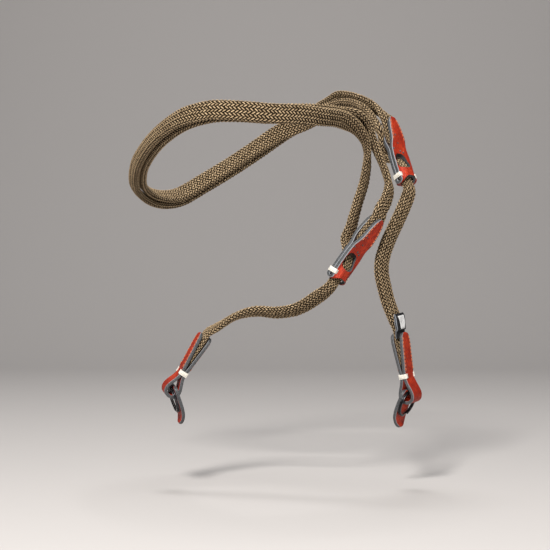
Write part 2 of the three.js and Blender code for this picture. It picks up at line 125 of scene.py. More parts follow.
RIGHT_END_RUN = [
    (58.2, -21.5, 126, 136, 22), (61.8, -19, 132.2, 144, 18), (64.2, -16, 141.1, 158, 8),
    (62.9, -15, 148.4, 178, 0), (59.6, -15, 157.6, 180, -6), (55.5, -17, 166.6, -170, -8),
    (52.1, -20, 174.2, -165, -20), (47.8, -25, 182.2, -150, -42), (41, -32, 187.3, -130, -50),
]
RIGHT_UPPER_RUN = [
    (40.5, 38, 201.8, 70, 58), (51.2, 24, 195.8, 35, 50), (57, 15, 186.9, 5, 25), (60.6, 9, 178.9, -10, 15),
]
RIGHT_LOWER_RUN = [
    (74.6, -12, 129.8, -38, 5), (69.8, -12, 118.9, -42, 0), (64.4, -10, 107.1, -46, 0),
    (60.6, -7, 95.3, -48, 0), (60, -5, 86, -46, 0), (62, -3, 76, -44, 0), (65, -1, 65.3, -40, 0),
    (69, 0, 55, -36, 0),
]
# Rows inside a fitting: y, z, width and thickness of the rope there.
# The first two lists give a slightly larger rope here than the solids have.
INTO_TAB = [(0, 6, 11, 0.9), (0, 15, 11.3, 2.4), (0, 24, 11.4, 3.7), (0, 31, 11.6, 4.3)]
INTO_SLIDER = [(0, 30.2, 11.2, 2.5), (0, 34, 11.7, 4.2), (0, 40, 12, 4.5), (0, 51, 12.2, 4.6)]
THROUGH_SLIDER = [
    (0.3, -5, 9.6, 4.8), (0.2, 1, 8.6, 4.8), (0.3, 7, 8.4, 4.8), (0.5, 12, 8.6, 4.8),
    (-1.6, 17, 9.2, 4.8), (-6, 22, 10.2, 4.9), (-11.5, 27, 11.4, 5),
]
# The label is a folded ribbon here and a plain block in the solids
LABEL_PATH = [
    (2.05, 25.6), (2.15, 29), (2.6, 33), (3.1, 37), (3.2, 40.6), (3.55, 42.1), (4.0, 40.6), (4.1, 37),
    (3.7, 33.5), (3.1, 30.6),
]
LABEL_MIDDLE, LABEL_HALF, RIBBON = 2.0, 5.9, 0.36
LABEL_STATIONS, LABEL_COLUMNS, LABEL_CORNER = 60, 16, 0.12
PALE_COLUMN = 15
PATCH_NEAR = [(31.4, 2.1), (40.4, 5.0)]
PATCH_FAR = [(31.4, -2.7), (40.4, -3.0)]
PATCH_THICKNESS = 0.3
PATCH_COLUMNS, PATCH_ROWS = 12, 16

# Leather as it is sewn: strips, folds, seams, needle holes and thread
EDGE_RADIUS = 0.5
EDGE_ANGLES = (67, 45, 22, 0)
END_EASE = (0.55, 0.88, 1.0)
TAB_STATIONS = 170
TAB_LEG_POINTS = 260
# Height above which a tab's inner face gets the painted shade
TAB_PAINTED_SHADE_FROM = 1.5
GUARD_STATIONS = 70
GUARD_ROOM = 0.35
SHEET_GAP = 0.06
EAR_GAP, EAR_AT, EAR_REACH = 0.8, 2.4, 1.5
FOLD = 2.4
FOLD_INSIDE = 0.6
FLAT_RUN = SLIDER_LENGTH - FOLD
FOLD_RUN = 5.0
LEG_BLUR = (-1.8, -0.9, 0, 0.9, 1.8)
CUT_FROM, CUT_TO = 0.03, 9
ROPE_ROOM = dict(reach=30, step=1.0, sides=36, height=0.35)
SEAM_INSET = 1.15
SEAM_THREAD = 0.21
SEAM_SIDES = 6
SEAM_STITCH = 2.5
SEAM_REST = 0.25
SEAM_HOLE = 0.32
TAB_SEAM = (3.5, 26.4)
SLIDER_SEAM = (31.5, 47.5)
TAB_FACE_LIFT, SLIDER_FACE_LIFT = 0.02, 0.03
TAB_HOLES = [(3.7, 17.8, 0.65), (3.8, 12.3, 0.65), (3.9, 6.9, 0.65)]
SLIDER_HOLES = [(5.5, 25.3, 0.75), (1.0, 29.6, 0.7), (0.0, 23.8, 0.8), (-2.4, 22.9, 0.8), (2.8, 34.9, 0.6)]
PIT_SIDES, PIT_DEPTH, PIT_PROUD = 12, 0.5, 0.04
WRAP_HEIGHT = 3.2
WRAP_SIDES = 8
WRAP_CLEAR = 0.08
WRAP_WAVE = 0.18

# The braid
WALES = 16
BRAID_PITCH = 2.5
FLOAT_HALF_LENGTH = 1.9
FLOAT_WIDTH = 1.14
FLOAT_THICKNESS = 1.1
FLOAT_DIVE = 1.0
FLOAT_SIDES = (90, 18, -54, -126, 162)
FLOAT_RINGS = (-0.82, -0.34, 0.34, 0.82)
FLOAT_TAPER = 0.42
FLOAT_END_DROP = 0.5
FLOAT_STAGGER = 0.25
FLOAT_LIFT = 0.08
WIDTH_SPREAD = 0.05
LIFT_SPREAD = 0.045
SLIDE_SPREAD = 0.07
SHADE_MIDDLE = 0.5
SHADE_SPREAD = 0.22
# Depth below a float's crest at which the painted shade in the gaps is full
PAINTED_SHADE_DEPTH = 0.42
THIN_SHARE = 0.8
CORE_DEPTH = 1.05
CORE_STATIONS = 420
CORE_SIDES = 30


# Small vector helpers
def unit(v):
    v = np.asarray(v, float)
    return v / np.linalg.norm(v, axis=-1, keepdims=True)


def across_to(v, axis):
    """The part of v square to axis, made one long."""
    return unit(v - axis * np.sum(v * axis, axis=-1, keepdims=True))


def smoothstep(x, low, high):
    t = np.clip((np.asarray(x, float) - low) / (high - low), 0, 1)
    return t * t * (3 - 2 * t)


def along(table, place):
    rows = sorted(table)
    return np.interp(place, [r[0] for r in rows], [r[1] for r in rows])


def catmull(points, t, centripetal):
    """Points of a Catmull-Rom curve through rows of points, at values t from 0 to 1."""
    points = np.asarray(points, float)
    place = (len(points) - 1) * np.asarray(t, float)
    index = np.clip(np.floor(place).astype(int), 0, len(points) - 2)
    w = (place - index)[:, None]
    padded = np.vstack([2 * points[0] - points[1], points, 2 * points[-1] - points[-2]])
    a, b, c, d = (padded[index + k] for k in range(4))
    if centripetal:
        step = [np.maximum(np.sum((q - p) ** 2, axis=1, keepdims=True) ** 0.25, 1e-4)
                for p, q in ((a, b), (b, c), (c, d))]
        u = ((b - a) / step[0] - (c - a) / (step[0] + step[1]) + (c - b) / step[1]) * step[1]
        v = ((c - b) / step[1] - (d - b) / (step[1] + step[2]) + (d - c) / step[2]) * step[1]
    else:
        u, v = 0.5 * (c - a), 0.5 * (d - b)
    return b + u * w + (-3 * b + 3 * c - 2 * u - v) * w**2 + (2 * b - 2 * c + u + v) * w**3


def even_curve(points, count):
    """Count points at equal steps along a centripetal curve through rows of points."""
    t = np.linspace(0, 1, CURVE_DIVISIONS)
    dense = catmull(points, t, True)
    length = np.concatenate([[0], np.cumsum(np.linalg.norm(np.diff(dense, axis=0), axis=1))])
    s = np.linspace(0, length[-1], count)
    t_even = np.interp(s, length, t)
    return catmull(points, t_even, True), t_even, s


# Frames
class Place:
    """A frame: rows of axes are its x, y and z in the row frame."""

    def __init__(self, axes, at):
        self.axes = np.asarray(axes, float)
        self.at = np.asarray(at, float)

    def world(self, points):
        return self.at + np.asarray(points, float) @ self.axes


def fitting_place(fitting):
    z = unit(fitting["up"])
    y = across_to(np.asarray(fitting["face"], float), z)
    return Place([np.cross(y, z), y, z], fitting["at"])


def ring_place(ring):
    tab = fitting_place(ring["tab"])
    a, b = -math.radians(ring["angle"]), math.radians(ring["turn"])
    hang = np.array([[1, 0, 0], [0, math.cos(a), math.sin(a)], [0, -math.sin(a), math.cos(a)]])
    yaw = np.array([[math.cos(b), math.sin(b), 0], [-math.sin(b), math.cos(b), 0], [0, 0, 1]])
    return Place(hang @ yaw @ tab.axes, tab.world((0, ring["out"], ring["up"])))


# Routes of the ropes
def direction(azimuth, tilt):
    a, t = math.radians(azimuth), math.radians(tilt)
    return np.array([math.cos(t) * math.cos(a), math.cos(t) * math.sin(a), math.sin(t)])


def world_rows(rows, shift=0.0):
    places = np.array([r[:3] for r in rows], float)
    made = []
    for i, (x, y, z, azimuth, tilt) in enumerate(rows):
        chord = unit(places[min(i + 1, len(rows) - 1)] - places[max(i - 1, 0)])
        face = across_to(direction(azimuth, tilt), chord)
        made.append((places[i] + face * shift, face, ROPE_WIDTH, ROPE_THICKNESS))
    return made


def fitting_rows(rows, fitting, side):
    place = fitting_place(fitting)
    return [(place.world((0, y, z)), side * place.axes[1], w, t) for y, z, w, t in rows]


LEFT_ROUTE = (
    fitting_rows(INTO_TAB, LEFT_TAB, 1)
    + world_rows(LEFT_LOWER_RUN)
    + fitting_rows(THROUGH_SLIDER, LEFT_SLIDER, -1)
    + world_rows(LEFT_UPPER_RUN)
    + world_rows(NECK, PAIR_SPACING / 2)
    + world_rows(LEFT_END_RUN)
    + fitting_rows(INTO_SLIDER, RIGHT_SLIDER, 1)[::-1]
)
RIGHT_ROUTE = (
    fitting_rows(INTO_TAB, RIGHT_TAB, 1)
    + world_rows(RIGHT_LOWER_RUN)[::-1]
    + fitting_rows(THROUGH_SLIDER, RIGHT_SLIDER, 1)
    + world_rows(RIGHT_UPPER_RUN)[::-1]
    + world_rows(NECK, -PAIR_SPACING / 2)[::-1]
    + world_rows(RIGHT_END_RUN)[::-1]
    + fitting_rows(INTO_SLIDER, LEFT_SLIDER, -1)[::-1]
)


class Route:
    """A rope's middle line with its width, thickness and the way that its face looks."""

    def __init__(self, rows):
        self.at, t, self.s = even_curve([r[0] for r in rows], ROUTE_POINTS)
        self.length = self.s[-1]
        tangent = unit(np.gradient(self.at, axis=0))
        face = catmull([r[1] for r in rows], t, False)
        size = catmull([(r[2], r[3], 0) for r in rows], t, False)
        self.out = across_to(face, tangent)
        self.across = np.cross(self.out, tangent)
        self.width, self.thickness = size[:, 0], size[:, 1]

    def read(self, values, s):
        if values.ndim == 1:
            return np.interp(s, self.s, values)
        return np.stack([np.interp(s, self.s, values[:, k]) for k in range(3)], axis=-1)


def oval():
    """Evenly spaced points and normals of the rope's section, one unit wide and one thick."""
    phi = np.linspace(0, 2 * math.pi, OVAL_DIVISIONS)
    x = 0.5 * np.sign(np.cos(phi)) * np.abs(np.cos(phi)) ** OVAL_POWER
    y = 0.5 * np.sign(np.sin(phi)) * np.abs(np.sin(phi)) ** OVAL_POWER
    real = np.stack([x * ROPE_WIDTH, y * ROPE_THICKNESS], axis=1)
    length = np.concatenate([[0], np.cumsum(np.linalg.norm(np.diff(real, axis=0), axis=1))])
    c = np.linspace(0, length[-1], OVAL_POINTS)
    even = np.stack([np.interp(c, length, x), np.interp(c, length, y)], axis=1)
    edge = np.gradient(even * (ROPE_WIDTH, ROPE_THICKNESS), axis=0)
    edge[0] = edge[-1] = edge[1] + edge[-2]
    normal = unit(np.stack([edge[:, 1], -edge[:, 0]], axis=1))
    return c, even, normal


OVAL_C, OVAL_XY, OVAL_NORMAL = oval()
PERIMETER = OVAL_C[-1]


def on_rope(route, s, c, height):
    """Row-frame points at s along a rope, c round it and height above its surface."""
    c = np.mod(c, PERIMETER)
    x = np.interp(c, OVAL_C, OVAL_XY[:, 0]) * route.read(route.width, s)
    y = np.interp(c, OVAL_C, OVAL_XY[:, 1]) * route.read(route.thickness, s)
    x = x + np.interp(c, OVAL_C, OVAL_NORMAL[:, 0]) * height
    y = y + np.interp(c, OVAL_C, OVAL_NORMAL[:, 1]) * height
    at = route.read(route.at, s)
    return at + route.read(route.across, s) * x[..., None] + route.read(route.out, s) * y[..., None]


# Meshes
def piece(name, points, faces, materials, index=None, uv=None, attributes=None, nodes=()):
    """An object of the strap, from points in millimetres in the row frame."""
    mesh = bpy.data.meshes.new(name)
    mesh.from_pydata((np.asarray(points) * METRES).tolist(), [], [list(f) for f in faces])
    for material in materials:
        mesh.materials.append(material)
    if index is not None:
        mesh.polygons.foreach_set("material_index", np.asarray(index, np.int32))
    mesh.polygons.foreach_set("use_smooth", np.ones(len(mesh.polygons), bool))
    if uv is not None:
        corner = np.empty(len(mesh.loops), np.int32)
        mesh.loops.foreach_get("vertex_index", corner)
        layer = mesh.uv_layers.new(name="run")
        layer.data.foreach_set("uv", np.asarray(uv, np.float32)[corner].ravel())
    for key, values in (attributes or {}).items():
        made = mesh.attributes.new(key, "FLOAT", "POINT")
        made.data.foreach_set("value", np.asarray(values, np.float32))
    mesh.update()
    obj = bpy.data.objects.new(name, mesh)
    bpy.context.scene.collection.objects.link(obj)
    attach(obj, "root")
    if nodes:
        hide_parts(*nodes)
    return obj


def ring_faces(rings, points, closed_path=False):
    """Quads between rings of points; each ring is closed."""
    made = []
    for i in range(rings if closed_path else rings - 1):
        a, b = i * points, ((i + 1) % rings) * points
        for j in range(points):
            k = (j + 1) % points
            made.append((a + j, a + k, b + k, b + j))
    return made


def capped_faces(rings, points):
    """Quads between rings of points, with a cap on each end."""
    count = rings * points
    return ring_faces(rings, points) + [tuple(range(points))[::-1], tuple(range(count - points, count))]


def outward(obj):
    """Turns all the faces of a closed mesh outwards."""
    made = bmesh.new()
    made.from_mesh(obj.data)
    bmesh.ops.recalc_face_normals(made, faces=made.faces)
    made.to_mesh(obj.data)
    made.free()


def tube(path, radius, sides, guide, closed=False):
    """Points and faces of a round tube along a path; its first side looks along the guide."""
    path = np.asarray(path, float)
    if closed:
        tangent = unit(np.roll(path, -1, axis=0) - np.roll(path, 1, axis=0))
    else:
        tangent = unit(np.gradient(path, axis=0))
    side = across_to(np.broadcast_to(np.asarray(guide, float), path.shape), tangent)
    other = np.cross(tangent, side)
    radius = np.broadcast_to(np.asarray(radius, float), (len(path),))
    phi = np.arange(sides) * 2 * math.pi / sides
    points = (
        path[:, None]
        + side[:, None] * (np.cos(phi)[None, :, None] * radius[:, None, None])
        + other[:, None] * (np.sin(phi)[None, :, None] * radius[:, None, None])
    ).reshape(-1, 3)
    return points, ring_faces(len(path), sides, True) if closed else capped_faces(len(path), sides)


def join(parts):
    """Joins (points, faces) pairs into one pair."""
    points, faces, base = [], [], 0
    for p, f in parts:
        points.append(p)
        faces.extend([tuple(v + base for v in face) for face in f])
        base += len(p)
    return np.vstack(points), faces


# Materials
class Graph:
    """A material's nodes, with short calls for the ones used here."""

    def __init__(self, name, color, roughness, **sockets):
        self.material = bpy.data.materials.new(name)
        self.material.use_nodes = True
        self.tree = self.material.node_tree
        self.shader = self.tree.nodes["Principled BSDF"]
        self.shader.inputs["Base Color"].default_value = (*color, 1)
        self.shader.inputs["Roughness"].default_value = roughness
        for key, value in sockets.items():
            self.shader.inputs[key.replace("_", " ")].default_value = value

    def node(self, kind, **settings):
        made = self.tree.nodes.new(kind)
        for key, value in settings.items():
            setattr(made, key, value)
        return made

    def link(self, output, target):
        self.tree.links.new(output, target)

    def coordinates(self, stretch=(1, 1, 1), uv=False):
        source = self.node("ShaderNodeTexCoord").outputs["UV" if uv else "Object"]
        scale = self.node("ShaderNodeMapping")
        scale.inputs["Scale"].default_value = stretch
        self.link(source, scale.inputs["Vector"])
        return scale.outputs["Vector"]

    def noise(self, where, scale, detail=3.0, rough=0.55):
        made = self.node("ShaderNodeTexNoise")
        made.inputs["Scale"].default_value = scale
        made.inputs["Detail"].default_value = detail
        made.inputs["Roughness"].default_value = rough
        self.link(where, made.inputs["Vector"])
        return made.outputs["Fac"]

    def cells(self, where, scale):
        made = self.node("ShaderNodeTexVoronoi", feature="DISTANCE_TO_EDGE")
        made.inputs["Scale"].default_value = scale
        self.link(where, made.inputs["Vector"])
        return made.outputs["Distance"]

    def attribute(self, name):
        return self.node("ShaderNodeAttribute", attribute_name=name).outputs["Fac"]

    def math(self, operation, a, b=None, clamp=False):
        made = self.node("ShaderNodeMath", operation=operation, use_clamp=clamp)
        for k, value in enumerate((a, b)):
            if value is None:
                continue
            if isinstance(value, (int, float)):
                made.inputs[k].default_value = value
            else:
                self.link(value, made.inputs[k])
        return made.outputs[0]

    def ramp(self, factor, stops):
        made = self.node("ShaderNodeValToRGB")
        for k, (place, color) in enumerate(stops):
            element = made.color_ramp.elements[k] if k < 2 else made.color_ramp.elements.new(place)
            element.position = place
            element.color = (*color, 1)
        self.link(factor, made.inputs["Fac"])
        return made.outputs["Color"]

    def mix(self, factor, a, b):
        made = self.node("ShaderNodeMix", data_type="RGBA")
        for key, value in ((0, factor), (6, a), (7, b)):
            if isinstance(value, (int, float)):
                made.inputs[key].default_value = value
            elif isinstance(value, tuple):
                made.inputs[key].default_value = (*value, 1)
            else:
                self.link(value, made.inputs[key])
        return made.outputs[2]

    def spread(self, factor, low, high):
        made = self.node("ShaderNodeMapRange")
        made.inputs["To Min"].default_value = low
        made.inputs["To Max"].default_value = high
        self.link(factor, made.inputs["Value"])
        return made.outputs["Result"]

    def bump(self, height, distance, strength=1.0, base=None):
        made = self.node("ShaderNodeBump")
        made.inputs["Distance"].default_value = distance * METRES
        made.inputs["Strength"].default_value = strength
        self.link(height, made.inputs["Height"])
        if base is not None:
            self.link(base, made.inputs["Normal"])
        return made.outputs["Normal"]

    def done(self, color=None, roughness=None, normal=None):
        for value, key in ((color, "Base Color"), (roughness, "Roughness"), (normal, "Normal")):
            if value is not None:
                self.link(value, self.shader.inputs[key])
        return self.material


def yarn_material():
    g = Graph("braid_yarn", (0.26, 0.19, 0.1), 0.8, Specular_IOR_Level=0.25)
    fibres = g.noise(g.coordinates((0.6, 9, 1), uv=True), 2.2, 2.0)
    drift = g.noise(g.coordinates(), 60, 2.0)
    tone = g.math("ADD", g.math("MULTIPLY", g.attribute("shade"), 0.45), g.math("MULTIPLY", fibres, 0.4))
    tone = g.math("ADD", tone, g.math("MULTIPLY", drift, 0.2))
    color = g.ramp(tone, [(0.2, (0.33, 0.22, 0.115)), (0.8, (0.86, 0.63, 0.375))])
    # Painted shade: floats turn near-black towards their flanks and ends, where they sink into the gaps
    # between floats
    color = g.mix(g.attribute("crevice_painted_shade"), color, (0.03, 0.018, 0.007))
    plies = g.node("ShaderNodeTexWave", bands_direction="Y")
    plies.inputs["Scale"].default_value = 1.15
    plies.inputs["Distortion"].default_value = 0.8
    g.link(g.coordinates(uv=True), plies.inputs["Vector"])
    normal = g.bump(plies.outputs["Fac"], 0.07)
    normal = g.bump(fibres, 0.08, base=normal)
    return g.done(color, g.spread(fibres, 0.62, 0.85), normal)


def core_painted_shade_material():
    # Painted shade: a near-black tube under the floats that shows through the gaps as the shade between them
    g = Graph("braid_core_painted_shade", (0.02, 0.013, 0.006), 1.0, Specular_IOR_Level=0.0)
    grain = g.noise(g.coordinates(), 900)
    color = g.ramp(grain, [(0.3, (0.012, 0.008, 0.004)), (0.7, (0.035, 0.023, 0.012))])
    return g.done(color, None, g.bump(grain, 0.2))


def leather_material():
    g = Graph("leather_red", (0.42, 0.03, 0.012), 0.5, Specular_IOR_Level=0.22)
    where = g.coordinates()
    cloud = g.noise(where, 110, 4.0)
    fine = g.noise(where, 900, 3.0)
    pores = g.cells(where, 1300)
    creases = g.cells(g.coordinates((1, 1, 0.35)), 260)
    tones = [(0.28, (0.24, 0.014, 0.0035)), (0.52, (0.43, 0.029, 0.006)), (0.74, (0.59, 0.054, 0.011))]
    color = g.ramp(cloud, tones)
    streak = g.noise(g.coordinates((0.16, 3.4, 1), uv=True), 1.6, 3.0, 0.6)
    shade = g.ramp(streak, [(0.4, (0.7, 0.7, 0.7)), (0.58, (0, 0, 0))])
    color = g.mix(shade, color, (0.12, 0.007, 0.003))
    pore = g.math("LESS_THAN", pores, 0.09)
    color = g.mix(g.math("MULTIPLY", pore, 0.35), color, (0.2, 0.012, 0.006))
    crease = g.spread(creases, 0.0, 1.0)
    normal = g.bump(g.math("MINIMUM", creases, 0.12), 0.5, 0.5)
    normal = g.bump(g.math("MINIMUM", pores, 0.2), 0.25, 0.6, base=normal)
    normal = g.bump(fine, 0.12, 0.7, base=normal)
    normal = g.bump(streak, 0.6, 0.9, base=normal)
    rough = g.math("ADD", g.spread(cloud, 0.42, 0.58), g.math("MULTIPLY", crease, 0.05))
    return g.done(color, rough, normal)


def edge_material():
    g = Graph("leather_edge", (0.07, 0.077, 0.082), 0.42, Specular_IOR_Level=0.5)
    streak = g.noise(g.coordinates((0.35, 3.2, 1), uv=True), 2.4, 4.0, 0.65)
    grit = g.noise(g.coordinates(), 1400, 3.0)
    worn = g.math("ADD", g.math("MULTIPLY", streak, 0.75), g.math("MULTIPLY", grit, 0.25))
    tones = [(0.34, (0.015, 0.0155, 0.0165)), (0.52, (0.05, 0.052, 0.055)), (0.7, (0.17, 0.178, 0.188))]
    color = g.ramp(worn, tones)
    split = g.node("ShaderNodeSeparateXYZ")
    g.link(g.coordinates(uv=True), split.inputs["Vector"])
    # Painted highlight: a pale line along each rounded corner of the edge, broken up by the streaks
    rim = g.math("SUBTRACT", g.math("ABSOLUTE", split.outputs["Y"]), 0.86)
    rim = g.math("MULTIPLY", g.math("MULTIPLY", rim, 5.5, clamp=True), g.spread(streak, 0.2, 1.0))
    color = g.mix(rim, color, (0.31, 0.33, 0.36))
    normal = g.bump(worn, 0.35, 0.8)
    return g.done(color, g.spread(worn, 0.32, 0.6), normal)


def inside_painted_shade_material():
    # Painted shade: near-black brown for inner faces that lie in the shade between the leaves and round the
    # rope
    g = Graph("leather_inside_painted_shade", (0.05, 0.03, 0.024), 0.9, Specular_IOR_Level=0.2)
    nap = g.noise(g.coordinates(), 1100, 4.0)
    color = g.ramp(nap, [(0.3, (0.026, 0.014, 0.011)), (0.7, (0.085, 0.052, 0.042))])
    return g.done(color, None, g.bump(nap, 0.2))


def thread_material(name, dark, light):
    g = Graph(name, light, 0.6, Sheen_Weight=0.2)
    fibre = g.noise(g.coordinates(), 2600, 3.0)
    color = g.ramp(fibre, [(0.3, dark), (0.62, light)])
    return g.done(color, g.spread(fibre, 0.5, 0.75), g.bump(fibre, 0.12))


def steel_material():
    g = Graph("ring_black", (0.03, 0.031, 0.034), 0.28, Metallic=0.85)
    wear = g.noise(g.coordinates(), 700, 4.0)
    tones = [(0.42, (0.016, 0.017, 0.019)), (0.66, (0.05, 0.051, 0.055)), (0.78, (0.22, 0.22, 0.23))]
    color = g.ramp(wear, tones)
    return g.done(color, g.spread(wear, 0.2, 0.42), g.bump(wear, 0.05, 0.5))


def woven_material(name, dark, light):
    g = Graph(name, light, 0.85, Specular_IOR_Level=0.2)
    where = g.coordinates(uv=True)
    warp = g.node("ShaderNodeTexWave", bands_direction="X")
    weft = g.node("ShaderNodeTexWave", bands_direction="Y")
    for wave, scale in ((warp, 1.1), (weft, 0.85)):
        wave.inputs["Scale"].default_value = scale
        wave.inputs["Distortion"].default_value = 0.4
        g.link(where, wave.inputs["Vector"])
    cloth = g.math("MULTIPLY", warp.outputs["Fac"], weft.outputs["Fac"])
    fuzz = g.noise(g.coordinates(), 1500, 2.0)
    tone = g.math("ADD", g.math("MULTIPLY", cloth, 0.6), g.math("MULTIPLY", fuzz, 0.5))
    color = g.ramp(tone, [(0.2, dark), (0.8, light)])
    return g.done(color, g.spread(fuzz, 0.7, 0.9), g.bump(tone, 0.15))


YARN = yarn_material()
CORE_PAINTED_SHADE = core_painted_shade_material()
RED = leather_material()
EDGE = edge_material()
INSIDE_PAINTED_SHADE = inside_painted_shade_material()
THREAD = thread_material("thread_white", (0.45, 0.41, 0.34), (0.83, 0.8, 0.72))
STITCH = thread_material("thread_amber", (0.3, 0.06, 0.018), (0.62, 0.2, 0.07))
# Painted shade: near-black plugs stand for the shade inside needle holes
HOLE_PAINTED_SHADE = thread_material("needle_hole", (0.012, 0.006, 0.005), (0.03, 0.012, 0.01))
STEEL = steel_material()
LABEL_BLACK = woven_material("label_black", (0.006, 0.006, 0.007), (0.03, 0.031, 0.034))
LABEL_WHITE = woven_material("label_white", (0.55, 0.55, 0.55), (0.9, 0.9, 0.89))
LABEL_EDGE = woven_material("label_edge", (0.14, 0.15, 0.17), (0.42, 0.44, 0.48))


# Braided ropes
def float_form():
    """One float of the braid: its points (along, across, height) and its faces."""
    rings = []
    for t in FLOAT_RINGS:
        width = FLOAT_WIDTH * (1 - FLOAT_TAPER * abs(t) ** 4)
        crest = -FLOAT_DIVE * abs(t) ** 2.6
        ring = []
        for phi in FLOAT_SIDES:
            a = math.radians(phi)
            ring.append((t * FLOAT_HALF_LENGTH, 0.5 * width * math.cos(a),
                         crest + 0.5 * FLOAT_THICKNESS * (math.sin(a) - 1)))
        rings.append(ring)
    points = [p for ring in rings for p in ring]
    ends = [(end * FLOAT_HALF_LENGTH, 0, -FLOAT_DIVE - FLOAT_END_DROP) for end in (-1, 1)]
    sides = len(FLOAT_SIDES)
    faces = ring_faces(len(rings), sides)
    first, last = len(points), len(points) + 1
    for j in range(sides):
        k = (j + 1) % sides
        faces.append((first, j, k))
        faces.append((last, first - sides + k, first - sides + j))
    return np.array(points + ends, float), faces


def braid(name, route, first, last, rows, nodes):
    """The floats from the first row up to the last, out of the rows of the whole rope, as one piece."""
    form, form_faces = float_form()
    rng = np.random.default_rng(RANDOM_SEED + len(name))
    pitch = route.length / rows
    wale = PERIMETER / WALES
    lean = math.atan2(wale, pitch)
    row, column = np.meshgrid(np.arange(first, last), np.arange(WALES), indexing="ij")
    row, column = row.ravel(), column.ravel()
    sign = np.where(column % 2 == 0, 1.0, -1.0)
    s0 = (row + 0.5 - FLOAT_STAGGER * sign) * pitch
    c0 = (column + 0.5) * wale
    count = len(row)
    wide = 1 + rng.normal(0, WIDTH_SPREAD, count)
    lift = rng.normal(0, LIFT_SPREAD, count)
    slide = rng.normal(0, SLIDE_SPREAD, (count, 2))
    shade = np.clip(rng.normal(SHADE_MIDDLE, SHADE_SPREAD, count), 0, 1)
    t = form[None, :, 0] * np.ones((count, 1))
    q = form[None, :, 1] * wide[:, None]
    h = form[None, :, 2] + lift[:, None]
    s = s0[:, None] + slide[:, :1] + t * math.cos(lean) - q * math.sin(lean) * sign[:, None]
    c = c0[:, None] + slide[:, 1:] + (t * math.sin(lean) * sign[:, None] + q * math.cos(lean))
    s = np.clip(s, 0, route.length)
    thin = np.clip(route.read(route.thickness, s) / (THIN_SHARE * ROPE_THICKNESS), 0.2, 1)
    world = on_rope(route, s, c, (h + FLOAT_LIFT) * thin).reshape(-1, 3)
    size = len(form)
    base = np.arange(count)[:, None] * size
    quads = np.array([f for f in form_faces if len(f) == 4])
    tris = np.array([f for f in form_faces if len(f) == 3])
    faces = []
    for kind in (quads, tris):
        for k in range(count):
            faces.extend((kind + base[k]).tolist())
    # Painted shade in the gaps: the deeper a point lies below its float's crest, the darker it is painted
    gap_painted_shade = np.clip(-form[:, 2] / PAINTED_SHADE_DEPTH, 0, 1)
    return piece(
        name, world, faces, [YARN],
        uv=np.stack([t.ravel(), q.ravel()], axis=1),
        attributes={"shade": np.repeat(shade, size), "crevice_painted_shade": np.tile(gap_painted_shade, count)},
        nodes=nodes,
    )


def rope_tube(route, near, reach, step, sides, height):
    """Points and faces of a closed tube round a rope, height off its surface, reach each way of a place."""
    s = np.arange(near - reach, near + reach + step / 2, step)
    c = np.arange(sides) * PERIMETER / sides
    ss, cc = np.meshgrid(s, c, indexing="ij")
    points = on_rope(route, ss.ravel(), cc.ravel(), np.full(ss.size, height))
    return points, capped_faces(len(s), sides)


# The near-black tube under the floats stands in for the shade in the gaps of the braid
def rope_core(name, route):
    s = np.linspace(0, route.length, CORE_STATIONS)
    ss, cc = np.meshgrid(s, np.arange(CORE_SIDES) * PERIMETER / CORE_SIDES, indexing="ij")
    ss, cc = ss.ravel(), cc.ravel()
    thin = np.clip(route.read(route.thickness, ss) / ROPE_THICKNESS, 0.1, 1)
    points = on_rope(route, ss, cc, -CORE_DEPTH * thin)
    outward(piece(name, points, capped_faces(CORE_STATIONS, CORE_SIDES), [CORE_PAINTED_SHADE]))


def rope(side, stations):
    route = Route(stations)
    rows = round(route.length / BRAID_PITCH)
    braid(f"braid_{side}_first_half", route, 1, rows // 2, rows, [f"rope_{side}"])
    braid(f"braid_{side}_second_half", route, rows // 2, rows, rows, [f"rope_{side}"])
    rope_core(f"core_{side}", route)
    return route


# Leather strips
def strip(surface, path, half_width, grow=0.0, radius=EDGE_RADIUS, columns=12, thickness=LEATHER, inside=0):
    """A closed strip: points, faces, material index and run.

    The surface gives the points of the outer and the inner face; inside is the inner face's material.
    """
    half = thickness / 2 + grow
    r = radius
    arc = [math.radians(a) for a in EDGE_ANGLES]
    xs = np.linspace(-1, 1, columns + 1)
    ring = [(x, 0.0, half, 0) for x in xs]
    ring += [(1, r * math.cos(a), half - r + r * math.sin(a), 1) for a in arc]
    ring += [(1, r * math.cos(a), -(half - r + r * math.sin(a)), 1) for a in reversed(arc)]
    ring += [(x, 0.0, -half, 0) for x in reversed(xs)]
    ring += [(-1, -r * math.cos(a), -(half - r + r * math.sin(a)), 1) for a in arc]
    ring += [(-1, -r * math.cos(a), half - r + r * math.sin(a), 1) for a in reversed(arc)]
    side, dx, n, is_edge = (np.array(v, float) for v in zip(*ring))
    path = np.asarray(path, float)
    width = np.maximum(np.asarray(half_width, float) + grow, r + 0.1)
    x = side[None] * (width[:, None] - r) + dx[None]
    ends = np.minimum(np.arange(len(path)), np.arange(len(path))[::-1])
    ease = np.interp(ends, range(len(END_EASE)), END_EASE)
    p = np.repeat(path[:, None], len(ring), axis=1)
    outer, inner = surface(p, x)
    reach = (n[None] * ease[:, None] / half)[..., None]
    points = ((outer + inner) / 2 + (outer - inner) / 2 * reach).reshape(-1, 3)
    faces = capped_faces(len(path), len(ring))
    following = np.roll(is_edge, -1)
    rim = (is_edge > 0) | (following > 0)
    within = np.broadcast_to(np.asarray(inside), (len(path),))[:-1, None]
    index = np.where(rim[None], 1, np.where(n[None] < 0, within, 0)).ravel().tolist()
    index += [1, 1]
    v = np.where(is_edge > 0, n, x / 3)
    return points, faces, index, np.stack([p.ravel(), v.ravel()], axis=1)


